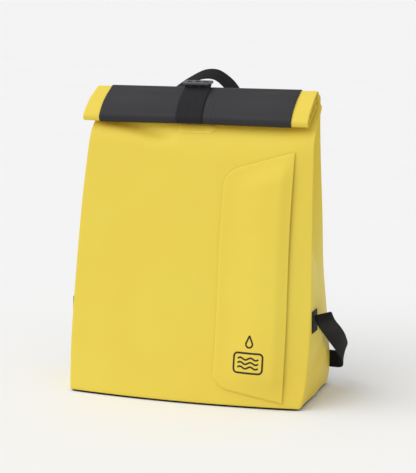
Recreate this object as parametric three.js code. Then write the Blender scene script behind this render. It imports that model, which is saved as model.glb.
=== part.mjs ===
// Roll-top backpack of coated fabric, standing on its base. Millimetres, +Z up, front towards -Y.
// The origin is the middle of the base's underside.
import * as THREE from "three";

// Body
const BASE_WIDTH = 330; // left to right at the base
const BASE_DEPTH = 150; // front to back at the base
const WALL_HEIGHT = 356; // base to the edge where the front wall turns back under the roll
const FABRIC = 1.2; // coated fabric, with its weld allowance
const GAP = 0.4; // between pieces that touch
const SIDE_TAPER = 7; // how much narrower each side is at WALL_HEIGHT
const SIDE_BULGE = 8; // how far the filled sides stand out at mid height
const SIDE_TUCK = 6; // how much narrower each side is at the back wall than at the front
const FRONT_BOW = 12; // how far the front wall bows out at the base
const TOP_BOW_SHARE = 0.25; // what is left of that bow at WALL_HEIGHT
const GUSSET_FOLD = 42; // how deep the side gussets fold in at the top
const GUSSET_FOLD_START = 130; // height where the gussets begin to fold in

// Boards, pads and patches
const BASE_SKIN = 2;
const BOARD = 4; // base board and back board
const BOARD_MARGIN = 12; // from a board's edge to the walls
const PAD_THICKNESS = 8;
const PAD_WIDTH = 250;
const PAD_BOTTOM = 18;
const PAD_TO_YOKE = 6;
const YOKE_WIDTH = 176;
const YOKE_DROP = 62; // from WALL_HEIGHT + YOKE_RISE down
const YOKE_RISE = 46;
const PATCH = 1.2; // thickness of a welded patch
const SEAT_PATCH_WIDTH = 52;
const SEAT_PATCH_BOTTOM = 2; // above WALL_HEIGHT
const SEAT_PATCH_TOP = 9; // above WALL_HEIGHT

// Roll
const ROLL_WIDTH = 316;
const ROLL_FACE = 50; // straight part of the roll's face
const ROLL_TILT = THREE.MathUtils.degToRad(48.2); // the face leans back from vertical
const ROLL_RISE = 58.3; // the top of the face above WALL_HEIGHT
const ROLL_FRONT = 20; // the top of the face behind the middle of the base
const CREST_RADIUS = 8.5; // outside of the cover, over the top
const HEM_RADIUS = 7.5; // outside of the cover, round the bottom
const COVER = 1; // dark cover panel
const COVER_WIDTH = 272;
const PLY_GAP = 0.9; // between the turns of the roll
const INNER_FOLD_RADIUS = 1.6;
const STIFFENER = 1.4;
const STIFFENER_HEIGHT = 26;
const SEAT_CLEARANCE = 1.2; // between the roll's turns and the shoulder that it lies on
const BACK_CLEARANCE = 2.6; // between the roll's crest and the back wall

// Closure strap and its buckle
const STRAP_X = -7; // the strap and the handle sit a little left of the middle
const STRAP_WIDTH = 38;
const WEBBING = 1.5; // thickness of all webbing
const STRAP_FLEX = 0.3; // radians round the hem where the strap leaves its sewn root
const BUCKLE_WIDTH = 40;
const BUCKLE_LENGTH = 20;
const BUCKLE_THICKNESS = 3;
const BUCKLE_TILT = THREE.MathUtils.degToRad(6); // its front edge dips over the crest
const BUCKLE_CORNER = 5;
const BUCKLE_LIFT = 2.8; // over the strap, whose folded end is under it
const BUCKLE_WINDOW = [7.8, 9];
const BUCKLE_WINDOW_PITCH = 11.4;

// Front pocket and its zip
const POCKET_LEFT = 42;
const POCKET_RIGHT = 141;
const POCKET_CORNER = 26;
const POCKET_BOTTOM = [27, 9]; // height of the bottom edge at its left and right
const POCKET_TOP_DROP = [46, 18]; // below WALL_HEIGHT, at its left and right
const POCKET_STANDOFF = 7; // height of the free edge over the front wall
const ZIP_INSET = 18; // from the free edge to the teeth
const ZIP_MARGIN = 22; // from the pocket's ends to the teeth's ends
const ZIP_TAPE = [24, 0.8];
const ZIP_TEETH = 0.8;
const SLIDER = [9, 12, 3];
const SLIDER_DROP = 16; // from the top stop to the slider when closed
const PULLER = [6, 22, 1.6];
const ZIP_STOP = [6, 3, 1.2];

// Grab handle
const HANDLE_WEBBING = 25;
const HANDLE_X = -10; // middle of the handle's feet
const HANDLE_FOOT = 45; // half the distance between its sewn feet
const HANDLE_REACH = 17; // how far it stands behind the back wall's top
const HANDLE_LEAN = 7; // how far the top of its arch leans to the right
const HANDLE_TOP = 77; // its middle line above WALL_HEIGHT

// Shoulder straps, ladder locks and lower webbing
const SHOULDER_WIDTH = [62, 46];
const SHOULDER_THICKNESS = 10;
const SHOULDER_X = [48, 82, 92]; // middle line at its top, bend and lower end
const SHOULDER_TOP_RISE = 26; // above WALL_HEIGHT
const SHOULDER_BOTTOM = 101;
const SHOULDER_LIFT = [8, 20]; // middle line behind the back wall, top and bottom
const LOWER_WEBBING = 25;
const LOCK_SIZE = [34, 36, 4];
const LOCK_SLOT = [27, 5.5];
const LOCK_BAR = 4;
const LOCK_DROP = 12; // from the shoulder strap's end to the lock's top bar
const LOOP_RADIUS = 4; // middle of the webbing round that bar
const ANCHOR_PATCH = [30, 32]; // depth and height of the patch that holds the webbing's end
const ANCHOR_HEIGHT = 126;
const ANCHOR_FORWARD = 40; // in front of the middle of the base

const YELLOW = { color: 0xebcf57, roughness: 0.45, metalness: 0 };
const DARK_COVER = { color: 0x48474a, roughness: 0.5, metalness: 0 };
const BLACK_FABRIC = { color: 0x222224, roughness: 0.75, metalness: 0 };
const BLACK_WEBBING = { color: 0x1b1a1a, roughness: 0.8, metalness: 0 };
const GREY_PLASTIC = { color: 0x6d6d72, roughness: 0.4, metalness: 0 };
const BLACK_PLASTIC = { color: 0x1d1d1f, roughness: 0.4, metalness: 0 };
const FOAM_BOARD = { color: 0x55565a, roughness: 0.9, metalness: 0 };

const clamp = THREE.MathUtils.clamp;
const lerp = THREE.MathUtils.lerp;
const smooth = THREE.MathUtils.smoothstep;

const part = new THREE.Group();

function add(name, geometry, finish, parent = part) {
  geometry.computeVertexNormals();
  const mesh = new THREE.Mesh(geometry, new THREE.MeshStandardMaterial(finish));
  mesh.name = name;
  parent.add(mesh);
  return mesh;
}

// The roll's own frame: its face is the plane y = 0, z runs up the face and y into the roll.
const roll = new THREE.Group();
roll.position.set(0, ROLL_FRONT, WALL_HEIGHT + ROLL_RISE);
roll.rotation.x = -ROLL_TILT;
part.add(roll);
roll.updateMatrixWorld(true);

const wrapRadius = CREST_RADIUS - COVER - GAP - FABRIC / 2;
const wrapHem = HEM_RADIUS - COVER - GAP - FABRIC / 2;
const wrapBack = HEM_RADIUS + wrapHem + FABRIC / 2;
const seatDepth = Math.max(wrapBack, CREST_RADIUS + wrapRadius + FABRIC / 2) + SEAT_CLEARANCE;
const crest = new THREE.Vector3(0, CREST_RADIUS, 0).applyMatrix4(roll.matrixWorld);

// Height and depth of the shoulder under the roll: the line seatDepth behind the roll's face.
function shoulderY(z) {
  const start = new THREE.Vector3(0, seatDepth, 0).applyMatrix4(roll.matrixWorld);
  return start.y + (z - start.z) * Math.tan(ROLL_TILT);
}

const shoulderTop = crest.z - CREST_RADIUS;
const backTopZ = crest.z + 2;
const backTopY = crest.y + CREST_RADIUS + BACK_CLEARANCE + FABRIC;

// The four walls' outer surfaces at a height.
function frontY(z) {
  if (z > WALL_HEIGHT) return shoulderY(z);
  return lerp(-BASE_DEPTH / 2, shoulderY(WALL_HEIGHT), z / WALL_HEIGHT);
}

function backY(z) {
  return lerp(BASE_DEPTH / 2, backTopY, z / backTopZ);
}

function halfWidth(z) {
  const share = clamp(z / WALL_HEIGHT, 0, 1);
  return BASE_WIDTH / 2 - SIDE_TAPER * share + SIDE_BULGE * Math.sin(Math.PI * share ** 0.6);
}

// How far a side's surface at a share of its depth is inside its front edge.
function sideTuck(share, z) {
  return SIDE_TUCK * share * smooth(z, 0, 60);
}

function frontSurface(x, z, out = 0) {
  const across = 1 - (x / halfWidth(z)) ** 2;
  const low = lerp(1, TOP_BOW_SHARE, clamp(z / WALL_HEIGHT, 0, 1));
  const high = 1 - smooth(z, WALL_HEIGHT - 6, WALL_HEIGHT + 6);
  return frontY(z) - FRONT_BOW * across * low * high - out;
}

// A block bent into a sheet: place(u, v, w) gives the point at shares 0 to 1 of its width, height and thickness.
function bentSheet(columns, rows, place) {
  const geometry = new THREE.BoxGeometry(1, 1, 1, columns, rows, 1);
  const position = geometry.getAttribute("position");
  for (let i = 0; i < position.count; i += 1) {
    const point = place(position.getX(i) + 0.5, position.getY(i) + 0.5, position.getZ(i) + 0.5);
    position.setXYZ(i, point.x, point.y, point.z);
  }
  return geometry;
}

// A band of webbing along a smooth line, with the direction across it given at each of the line's points.
function ribbon(points, sides, width, thickness, rows) {
  const line = new THREE.CatmullRomCurve3(points);
  const across = new THREE.CatmullRomCurve3(sides);
  return bentSheet(4, rows, (u, v, w) => {
    const tangent = line.getTangent(v);
    const side = across.getPoint(v).projectOnPlane(tangent).normalize();
    const normal = side.clone().cross(tangent);
    const point = line.getPoint(v).addScaledVector(side, (u - 0.5) * width);
    return point.addScaledVector(normal, (w - 0.5) * thickness);
  });
}

// A strip whose section follows a line of points in the Y-Z plane, extruded along X.
function strip(points, thickness, width, middle = 0) {
  const left = [];
  const right = [];
  points.forEach((point, i) => {
    const before = points[Math.max(i - 1, 0)];
    const after = points[Math.min(i + 1, points.length - 1)];
    const along = after.clone().sub(before).normalize();
    const out = new THREE.Vector2(-along.y, along.x).multiplyScalar(thickness / 2);
    left.push(point.clone().add(out));
    right.push(point.clone().sub(out));
  });
  return alongX(new THREE.Shape([...left, ...right.reverse()]), width, middle);
}

// A shape drawn in Y and Z, extruded along X about its middle.
function alongX(shape, width, middle = 0) {
  const geometry = new THREE.ExtrudeGeometry(shape, { depth: width, bevelEnabled: false, curveSegments: 6 });
  const toYZ = new THREE.Matrix4().makeBasis(
    new THREE.Vector3(0, 1, 0),
    new THREE.Vector3(0, 0, 1),
    new THREE.Vector3(1, 0, 0),
  );
  return geometry.applyMatrix4(toYZ).translate(middle - width / 2, 0, 0);
}

// A line in the roll's section: over the crest from angle from, down the face and round the hem to angle to.
function rollLine(crestRadius, hemRadius, from, to) {
  const line = new THREE.Path();
  line.absarc(CREST_RADIUS, 0, crestRadius, Math.PI - from, Math.PI, false);
  line.absarc(HEM_RADIUS, -ROLL_FACE, hemRadius, Math.PI, Math.PI + to, false);
  return line;
}

function roundedRectangle(width, height, radius) {
  const shape = new THREE.Shape();
  const x = width / 2;
  const y = height / 2;
  shape.absarc(x - radius, -y + radius, radius, -Math.PI / 2, 0, false);
  shape.absarc(x - radius, y - radius, radius, 0, Math.PI / 2, false);
  shape.absarc(-x + radius, y - radius, radius, Math.PI / 2, Math.PI, false);
  shape.absarc(-x + radius, -y + radius, radius, Math.PI, Math.PI * 1.5, false);
  return shape;
}

function rectangleHole(x, y, width, height) {
  const points = roundedRectangle(width, height, 0.8).getPoints(2);
  return new THREE.Path(points.map((point) => new THREE.Vector2(point.x + x, point.y + y)));
}

// Walls -------------------------------------------------------------------------------------------

const wallBottom = BASE_SKIN + GAP;

// A wall's rows crowd towards the turn under the roll.
function wallHeight(v, top) {
  const turn = 0.8;
  if (v < turn) return lerp(wallBottom, WALL_HEIGHT - 6, v / turn);
  return lerp(WALL_HEIGHT - 6, top, (v - turn) / (1 - turn));
}

function frontPanel() {
  return bentSheet(12, 15, (u, v, w) => {
    const z = wallHeight(v, shoulderTop);
    const x = lerp(-1, 1, u) * halfWidth(z);
    return new THREE.Vector3(x, frontSurface(x, z) + (1 - w) * FABRIC, z);
  });
}

function backPanel() {
  return bentSheet(6, 8, (u, v, w) => {
    const z = lerp(wallBottom, backTopZ, v);
    const x = lerp(1, -1, u) * (halfWidth(z) - sideTuck(1, z));
    return new THREE.Vector3(x, backY(z) - (1 - w) * FABRIC, z);
  });
}

function gusset(side) {
  const inset = FABRIC + GAP;
  return bentSheet(8, 15, (u, v, w) => {
    const z = wallHeight(v, shoulderTop - 6);
    const share = side > 0 ? u : 1 - u;
    const y = lerp(frontY(z) + inset * 2, backY(z) - inset, share);
    const fold = GUSSET_FOLD * smooth(z, GUSSET_FOLD_START, WALL_HEIGHT);
    const valley = 1 - Math.abs(2 * share - 1);
    const x = halfWidth(z) - sideTuck(share, z) - fold * valley - (1 - w) * FABRIC;
    return new THREE.Vector3(side * x, y, z);
  });
}

function baseOutline(inset) {
  const points = [];
  const columns = 16;
  for (let i = 0; i <= columns; i += 1) {
    const x = lerp(-1, 1, i / columns) * (BASE_WIDTH / 2 - inset);
    points.push(new THREE.Vector2(x, frontSurface(x, 0) + inset));
  }
  points.push(new THREE.Vector2(BASE_WIDTH / 2 - inset, BASE_DEPTH / 2 - inset));
  points.push(new THREE.Vector2(-BASE_WIDTH / 2 + inset, BASE_DEPTH / 2 - inset));
  return new THREE.Shape(points);
}

function basePanel() {
  return new THREE.ExtrudeGeometry(baseOutline(1), { depth: BASE_SKIN, bevelEnabled: false });
}

function baseBoard() {
  const board = new THREE.ExtrudeGeometry(baseOutline(BOARD_MARGIN), { depth: BOARD, bevelEnabled: false });
  return board.translate(0, 0, wallBottom + GAP);
}

// A flat panel in line with the back wall, out millimetres outside it (or inside, when negative).
function backLayer(width, bottom, top, out, thickness) {
  return bentSheet(1, 1, (u, v, w) => {
    const z = lerp(bottom, top, v);
    return new THREE.Vector3(lerp(width / 2, -width / 2, u), backY(z) + out + w * thickness, z);
  });
}

add("front_panel", frontPanel(), YELLOW);
add("back_panel", backPanel(), YELLOW);
add("gusset_left", gusset(-1), YELLOW);
add("gusset_right", gusset(1), YELLOW);
add("base_panel", basePanel(), BLACK_FABRIC);
add("base_board", baseBoard(), FOAM_BOARD);

const boardWidth = 2 * (BASE_WIDTH / 2 - SIDE_TAPER - GUSSET_FOLD - BOARD_MARGIN / 2);
const boardBottom = wallBottom + BOARD + GAP * 3;
const boardOut = -FABRIC - GAP - BOARD;
add("back_board", backLayer(boardWidth, boardBottom, WALL_HEIGHT - 20, boardOut, BOARD), FOAM_BOARD);

const yokeTop = WALL_HEIGHT + YOKE_RISE;
const yokeBottom = yokeTop - YOKE_DROP;
const padTop = yokeBottom - PAD_TO_YOKE;
add("back_pad", backLayer(PAD_WIDTH, PAD_BOTTOM, padTop, GAP, PAD_THICKNESS), BLACK_FABRIC);
add("yoke_patch", backLayer(YOKE_WIDTH, yokeBottom, yokeTop, GAP, PATCH), BLACK_FABRIC);

// Patch on the front wall that the roll and the strap bear on.
function seatPatch() {
  const bottom = WALL_HEIGHT + SEAT_PATCH_BOTTOM;
  const top = WALL_HEIGHT + SEAT_PATCH_TOP;
  return bentSheet(6, 6, (u, v, w) => {
    const z = lerp(bottom, top, v);
    const x = lerp(-1, 1, u) * (SEAT_PATCH_WIDTH / 2);
    return new THREE.Vector3(x, frontSurface(x, z, GAP * 2 + w * PATCH), z);
  });
}
add("seat_patch", seatPatch(), YELLOW);

// Roll --------------------------------------------------------------------------------------------

function rollOuterWrap() {
  const line = rollLine(wrapRadius, wrapHem, Math.PI * 0.92, Math.PI);
  line.lineTo(HEM_RADIUS + wrapHem, -CREST_RADIUS - 2);
  return strip(line.getPoints(6), FABRIC, ROLL_WIDTH);
}

function rollInnerWrap() {
  const radius = wrapHem - FABRIC - PLY_GAP;
  const front = HEM_RADIUS - radius;
  const back = HEM_RADIUS + radius;
  const top = -CREST_RADIUS;
  const line = new THREE.Path();
  line.moveTo(front, top + 6);
  line.absarc(HEM_RADIUS, -ROLL_FACE, radius, Math.PI, Math.PI * 2, false);
  line.absarc(back - INNER_FOLD_RADIUS, top, INNER_FOLD_RADIUS, 0, Math.PI, false);
  line.lineTo(back - 2 * INNER_FOLD_RADIUS, top - STIFFENER_HEIGHT);
  return strip(line.getPoints(6), FABRIC, ROLL_WIDTH - 4);
}

function lipStiffener() {
  const radius = wrapHem - FABRIC - PLY_GAP;
  const front = HEM_RADIUS - radius + FABRIC / 2;
  const back = HEM_RADIUS + radius - 2 * INNER_FOLD_RADIUS - FABRIC / 2;
  const strap = new THREE.BoxGeometry(ROLL_WIDTH - 16, STIFFENER, STIFFENER_HEIGHT);
  return strap.translate(0, (front + back) / 2, -CREST_RADIUS - 2 - STIFFENER_HEIGHT / 2);
}

function rollCover() {
  const line = rollLine(CREST_RADIUS - COVER / 2, HEM_RADIUS - COVER / 2, Math.PI * 0.6, Math.PI * 0.45);
  return strip(line.getPoints(6), COVER, COVER_WIDTH);
}

add("roll_outer_wrap", rollOuterWrap(), YELLOW, roll);
add("roll_inner_wrap", rollInnerWrap(), YELLOW, roll);
add("lip_stiffener", lipStiffener(), BLACK_PLASTIC, roll);
add("roll_cover", rollCover(), DARK_COVER, roll);

// Closure strap -----------------------------------------------------------------------------------

const strapOut = GAP + WEBBING / 2;

// The strap from where it flexes at the hem, up the face and over the crest.
function closureStrap() {
  const line = rollLine(CREST_RADIUS + strapOut, HEM_RADIUS + strapOut, ROLL_TILT * 1.15, STRAP_FLEX);
  return strip(line.getPoints(6), WEBBING, STRAP_WIDTH, STRAP_X);
}

// The strap's end, sewn under the hem of the roll.
function strapRoot() {
  const line = new THREE.Path();
  const radius = HEM_RADIUS + strapOut;
  line.absarc(HEM_RADIUS, -ROLL_FACE, radius, Math.PI + STRAP_FLEX + 0.08, Math.PI * 1.32, false);
  return strip(line.getPoints(6), WEBBING, STRAP_WIDTH, STRAP_X);
}

// A flat plate with a row of three windows, lying level on top of the strap.
function closureBuckle() {
  const plate = roundedRectangle(BUCKLE_WIDTH, BUCKLE_LENGTH, BUCKLE_CORNER);
  for (const i of [-1, 0, 1]) {
    plate.holes.push(rectangleHole(i * BUCKLE_WINDOW_PITCH, 0, BUCKLE_WINDOW[0], BUCKLE_WINDOW[1]));
  }
  const geometry = new THREE.ExtrudeGeometry(plate, {
    depth: BUCKLE_THICKNESS,
    bevelEnabled: false,
    curveSegments: 4,
  });
  const lift = CREST_RADIUS + GAP + WEBBING + BUCKLE_LIFT;
  geometry.translate(0, 0, lift).rotateX(BUCKLE_TILT);
  return geometry.translate(STRAP_X - 3, crest.y, crest.z);
}

// Webbing from the yoke up the outside of the back wall, which holds the buckle from behind.
function rearStrap() {
  const out = GAP + PATCH + GAP;
  const bottom = yokeBottom + 20;
  return bentSheet(1, 4, (u, v, w) => {
    const z = lerp(bottom, backTopZ + 3, v);
    const x = STRAP_X + lerp(STRAP_WIDTH / 2, -STRAP_WIDTH / 2, u);
    return new THREE.Vector3(x, backY(z) + out + w * WEBBING, z);
  });
}

add("closure_strap", closureStrap(), BLACK_WEBBING, roll);
add("strap_root", strapRoot(), BLACK_WEBBING, roll);
add("closure_buckle", closureBuckle(), GREY_PLASTIC);
add("rear_strap", rearStrap(), BLACK_WEBBING);

// Grab handle -------------------------------------------------------------------------------------

function grabHandle() {
  const footOut = GAP + PATCH + GAP * 2 + WEBBING / 2;
  const archY = backTopY + HANDLE_REACH;
  const top = WALL_HEIGHT + HANDLE_TOP;
  // Distance from the middle, depth and height of the line's points, and the direction across the webbing.
  const half = [
    [HANDLE_FOOT, backY(yokeTop - 13) + footOut, yokeTop - 13, [1, 0, 0]],
    [HANDLE_FOOT, backY(yokeTop - 4) + footOut + 2, yokeTop - 5, [1, 0.05, 0]],
    [HANDLE_FOOT - 4, lerp(backY(yokeTop), archY, 0.85), yokeTop + 8, [0.6, 0.7, 0]],
    [HANDLE_FOOT - 17, archY, top - 12, [0.25, 0.9, 0.4]],
    [HANDLE_FOOT - 36, archY, top - 1.5, [0, 0.88, 0.5]],
  ];
  const lean = [0, 0, 0.1, 0.6, 1].map((share) => HANDLE_X + HANDLE_LEAN * share);
  const left = half.map(([x, y, z], i) => new THREE.Vector3(lean[i] - x, y, z));
  const right = half.map(([x, y, z], i) => new THREE.Vector3(lean[i] + x, y, z)).reverse();
  const leftSides = half.map(([, , , [x, y, z]]) => new THREE.Vector3(-x, y, z));
  const rightSides = half.map(([, , , [x, y, z]]) => new THREE.Vector3(x, y, z)).reverse();
  return ribbon([...left, ...right], [...leftSides, ...rightSides], HANDLE_WEBBING, WEBBING, 36);
}
add("grab_handle", grabHandle(), BLACK_WEBBING);

// Front pocket ------------------------------------------------------------------------------------

// The pocket's lower and upper edges at a distance from its left edge, with round left corners.
function pocketEdges(across) {
  const share = across / (POCKET_RIGHT - POCKET_LEFT);
  const inside = Math.max(POCKET_CORNER - across, 0);
  const corner = POCKET_CORNER - Math.sqrt(POCKET_CORNER ** 2 - inside ** 2);
  const low = lerp(POCKET_BOTTOM[0], POCKET_BOTTOM[1], share) + corner;
  const high = WALL_HEIGHT - lerp(POCKET_TOP_DROP[0], POCKET_TOP_DROP[1], share) - corner;
  return [low, high];
}

// How far the pocket panel stands off the wall: it rises to the free edge, and is welded down at both ends.
function pocketStandoff(across, v) {
  const ends = smooth(Math.min(v, 1 - v), 0, 0.06);
  const out = smooth(across, POCKET_CORNER, POCKET_RIGHT - POCKET_LEFT - ZIP_INSET * 1.8);
  return GAP + POCKET_STANDOFF * out * ends;
}

function pocketPanel() {
  return bentSheet(10, 18, (u, v, w) => {
    const across = (POCKET_RIGHT - POCKET_LEFT) * (1 - (1 - u) ** 1.3);
    const [low, high] = pocketEdges(Math.max(across, 0.8));
    const z = lerp(low, high, v);
    const x = POCKET_LEFT + across;
    const out = pocketStandoff(across, v);
    return new THREE.Vector3(x, frontSurface(x, z, out + w * FABRIC), z);
  });
}
add("pocket_panel", pocketPanel(), YELLOW);

const zipX = POCKET_RIGHT - ZIP_INSET;
const zipBottom = POCKET_BOTTOM[1] + ZIP_MARGIN;
const zipTop = WALL_HEIGHT - POCKET_TOP_DROP[1] - ZIP_MARGIN;

function zipTape() {
  return bentSheet(4, 10, (u, v, w) => {
    const z = lerp(zipBottom, zipTop, v);
    const x = zipX + (u - 0.5) * ZIP_TAPE[0];
    const ridge = Math.abs(u - 0.5) < 0.1 ? ZIP_TEETH : 0;
    return new THREE.Vector3(x, frontSurface(x, z, GAP + w * (ZIP_TAPE[1] + ridge)), z);
  });
}

// The zip's straight line, lifted off the wall, as a group whose z runs up the teeth and -y outwards.
const zipLow = new THREE.Vector3(zipX, frontSurface(zipX, zipBottom), zipBottom);
const zipHigh = new THREE.Vector3(zipX, frontSurface(zipX, zipTop), zipTop);
const zipLean = Math.atan2(zipHigh.y - zipLow.y, zipHigh.z - zipLow.z);
const zipLength = zipHigh.distanceTo(zipLow);
const zipLift = GAP * 2 + ZIP_TAPE[1] + ZIP_TEETH + 0.3;
const zip = new THREE.Group();
zip.position.copy(zipLow);
zip.rotation.x = -zipLean;
part.add(zip);

// A plate drawn in the zip's x and z, as thick as given and lifted off the wall.
function zipPlate(shape, thickness, lift) {
  const geometry = new THREE.ExtrudeGeometry(shape, { depth: thickness, bevelEnabled: false, curveSegments: 4 });
  return geometry.rotateX(Math.PI / 2).translate(0, -lift, 0);
}

function zipSlider() {
  const shape = new THREE.Shape();
  const [width, height] = SLIDER;
  shape.moveTo(-width / 3, -height / 2);
  shape.lineTo(width / 3, -height / 2);
  shape.lineTo(width / 2, height / 4);
  shape.lineTo(width / 3, height / 2);
  shape.lineTo(-width / 3, height / 2);
  shape.lineTo(-width / 2, height / 4);
  shape.closePath();
  return zipPlate(shape, SLIDER[2], zipLift);
}

const sliderHeight = zipLength - SLIDER_DROP;
const pullerHinge = sliderHeight - SLIDER[1] / 2 - PULLER[0] / 2 - GAP;

function zipPuller() {
  const shape = roundedRectangle(PULLER[0], PULLER[1], PULLER[0] / 2 - 0.01);
  const plate = zipPlate(shape, PULLER[2], zipLift + SLIDER[2] - PULLER[2]);
  return plate.translate(0, 0, -PULLER[1] / 2 + PULLER[0] / 2);
}

function zipStop() {
  const shape = roundedRectangle(ZIP_STOP[0], ZIP_STOP[1], 1);
  return zipPlate(shape, ZIP_STOP[2], zipLift);
}

add("zip_tape", zipTape(), BLACK_FABRIC);
add("zip_slider", zipSlider(), BLACK_PLASTIC, zip).position.z = sliderHeight;
add("zip_puller", zipPuller(), BLACK_PLASTIC, zip).position.z = pullerHinge;
add("zip_stop_top", zipStop(), BLACK_PLASTIC, zip).position.z = zipLength - ZIP_STOP[1];
add("zip_stop_bottom", zipStop(), BLACK_PLASTIC, zip).position.z = ZIP_STOP[1];

// Shoulder straps ---------------------------------------------------------------------------------

const shoulderTopZ = WALL_HEIGHT + SHOULDER_TOP_RISE;
const padFace = GAP + PAD_THICKNESS;

// The middle line of a shoulder strap, from its top at v = 0 to its lower end at v = 1.
function shoulderPoint(v) {
  const z = lerp(shoulderTopZ, SHOULDER_BOTTOM, v);
  const bend = smooth(v, 0, 0.6);
  const x = lerp(SHOULDER_X[0], SHOULDER_X[1], bend) + (SHOULDER_X[2] - SHOULDER_X[1]) * smooth(v, 0.5, 1);
  const overPad = padFace + SHOULDER_THICKNESS / 2 + 2;
  const lift = lerp(SHOULDER_LIFT[0], overPad, smooth(v, 0, 0.14)) + (SHOULDER_LIFT[1] - overPad) * smooth(v, 0.6, 1);
  return new THREE.Vector3(x, backY(z) + lift, z);
}

// A padded band, thick in the middle and thin at its edges and ends.
function shoulderStrap(side) {
  return bentSheet(4, 14, (u, v, w) => {
    const middle = shoulderPoint(1 - v);
    const width = lerp(SHOULDER_WIDTH[1], SHOULDER_WIDTH[0], v);
    const edge = 1 - 0.55 * Math.abs(2 * u - 1) ** 3;
    const end = lerp(0.5, 1, smooth(Math.min(v, 1 - v), 0, 0.12));
    const x = side * middle.x + lerp(width / 2, -width / 2, u);
    const y = middle.y + (w - 0.5) * SHOULDER_THICKNESS * edge * end;
    return new THREE.Vector3(x, y, middle.z);
  });
}

const lockPlace = shoulderPoint(1);
lockPlace.z = SHOULDER_BOTTOM - LOCK_DROP;

// The webbing loop sewn into the strap's end, round the lock's top bar.
function lockLoop(side) {
  const line = new THREE.Path();
  const top = SHOULDER_BOTTOM - GAP;
  line.moveTo(lockPlace.y - LOOP_RADIUS, top);
  line.absarc(lockPlace.y, lockPlace.z, LOOP_RADIUS, Math.PI, Math.PI * 2, false);
  line.lineTo(lockPlace.y + LOOP_RADIUS, top);
  return strip(line.getPoints(8), WEBBING, LOWER_WEBBING, side * lockPlace.x);
}

// A ladder lock: a plate with a top bar and three slots, drawn in x and z.
function ladderLock(side) {
  const [width, height, thickness] = LOCK_SIZE;
  const plate = roundedRectangle(width, height, 4);
  const firstSlot = height / 2 - LOCK_BAR - LOCK_SLOT[1] / 2;
  for (const i of [0, 1, 2]) {
    const z = firstSlot - i * (LOCK_SLOT[1] + LOCK_BAR);
    plate.holes.push(rectangleHole(0, z, LOCK_SLOT[0], LOCK_SLOT[1]));
  }
  const geometry = new THREE.ExtrudeGeometry(plate, { depth: thickness, bevelEnabled: false, curveSegments: 4 });
  geometry.rotateX(Math.PI / 2);
  const z = lockPlace.z + LOCK_BAR / 2 - height / 2;
  return geometry.translate(side * lockPlace.x, lockPlace.y + thickness / 2, z);
}

// Lower webbing: from its tab on the side gusset it hangs out and back round the corner to the ladder lock.
function lowerWebbing(side) {
  const wall = halfWidth(ANCHOR_HEIGHT) + PATCH + GAP;
  const back = BASE_DEPTH / 2;
  const lockBottom = lockPlace.z + LOCK_BAR / 2 - LOCK_SIZE[1];
  // Distance from the middle, depth and height of the line's points, and the direction across the webbing.
  // The right one hangs away from the bag and the left one lies close to it.
  const loose = [
    [wall + 13.2, -ANCHOR_FORWARD, ANCHOR_HEIGHT, [0.95, 0.31, 0]],
    [wall + 14.5, 9 - ANCHOR_FORWARD, ANCHOR_HEIGHT - 11, [0.9, 0.35, 0.15]],
    [wall + 15, 16, 88, [0.7, 0.25, 0.5]],
    [wall + 17, 50, 65, [0.4, 0.1, 0.9]],
    [wall + 15, back + 2, 44, [0.2, 0, 1]],
    [wall + 3, back + 19, 32, [0, 0, 1]],
  ];
  const close = [
    [wall + 1, -ANCHOR_FORWARD, ANCHOR_HEIGHT - 10, [0, 0.4, 0.9]],
    [wall + 2, 9 - ANCHOR_FORWARD, ANCHOR_HEIGHT - 15, [0, 0.45, 0.9]],
    [wall + 4, 22, 91, [0, 0.45, 0.9]],
    [wall + 7, 54, 69, [0, 0.4, 0.9]],
    [wall + 7, back + 2, 52, [0.1, 0.2, 1]],
    [wall - 4, back + 18, 40, [0, 0, 1]],
  ];
  const line = [
    ...(side > 0 ? loose : close),
    [lerp(wall, lockPlace.x, 0.35), back + 27, 31, [0, 0, 1]],
    [lerp(wall, lockPlace.x, 0.72), back + 24, 31, [0.35, 0, 1]],
    [lockPlace.x + 4, back + 17, 40, [1, 0, 0.7]],
    [lockPlace.x, lockPlace.y, lockBottom - 5, [1, 0, 0]],
  ];
  const points = line.map(([x, y, z]) => new THREE.Vector3(side * x, y, z));
  const sides = line.map(([, , , [x, y, z]]) => new THREE.Vector3(side * x, y, z));
  return ribbon(points, sides, LOWER_WEBBING, WEBBING, 40);
}

// The patch on the gusset that the lower webbing's end is sewn to.
function anchorPatch(side) {
  const [depth, height] = ANCHOR_PATCH;
  return bentSheet(1, 3, (u, v, w) => {
    const z = ANCHOR_HEIGHT + 5 - height + v * height;
    const y = -ANCHOR_FORWARD + side * (u - 0.5) * depth;
    const share = (y - frontY(z)) / (backY(z) - frontY(z));
    return new THREE.Vector3(side * (halfWidth(z) - sideTuck(share, z) + GAP + w * PATCH), y, z);
  });
}

for (const [name, side] of [["left", -1], ["right", 1]]) {
  add(`shoulder_strap_${name}`, shoulderStrap(side), BLACK_FABRIC);
  add(`lock_loop_${name}`, lockLoop(side), BLACK_WEBBING);
  add(`ladder_lock_${name}`, ladderLock(side), BLACK_PLASTIC);
  add(`lower_webbing_${name}`, lowerWebbing(side), BLACK_WEBBING);
  add(`anchor_patch_${name}`, anchorPatch(side), BLACK_FABRIC);
}

export default part;
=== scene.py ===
import math

import bpy
from mathutils import Matrix, Vector, noise


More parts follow.
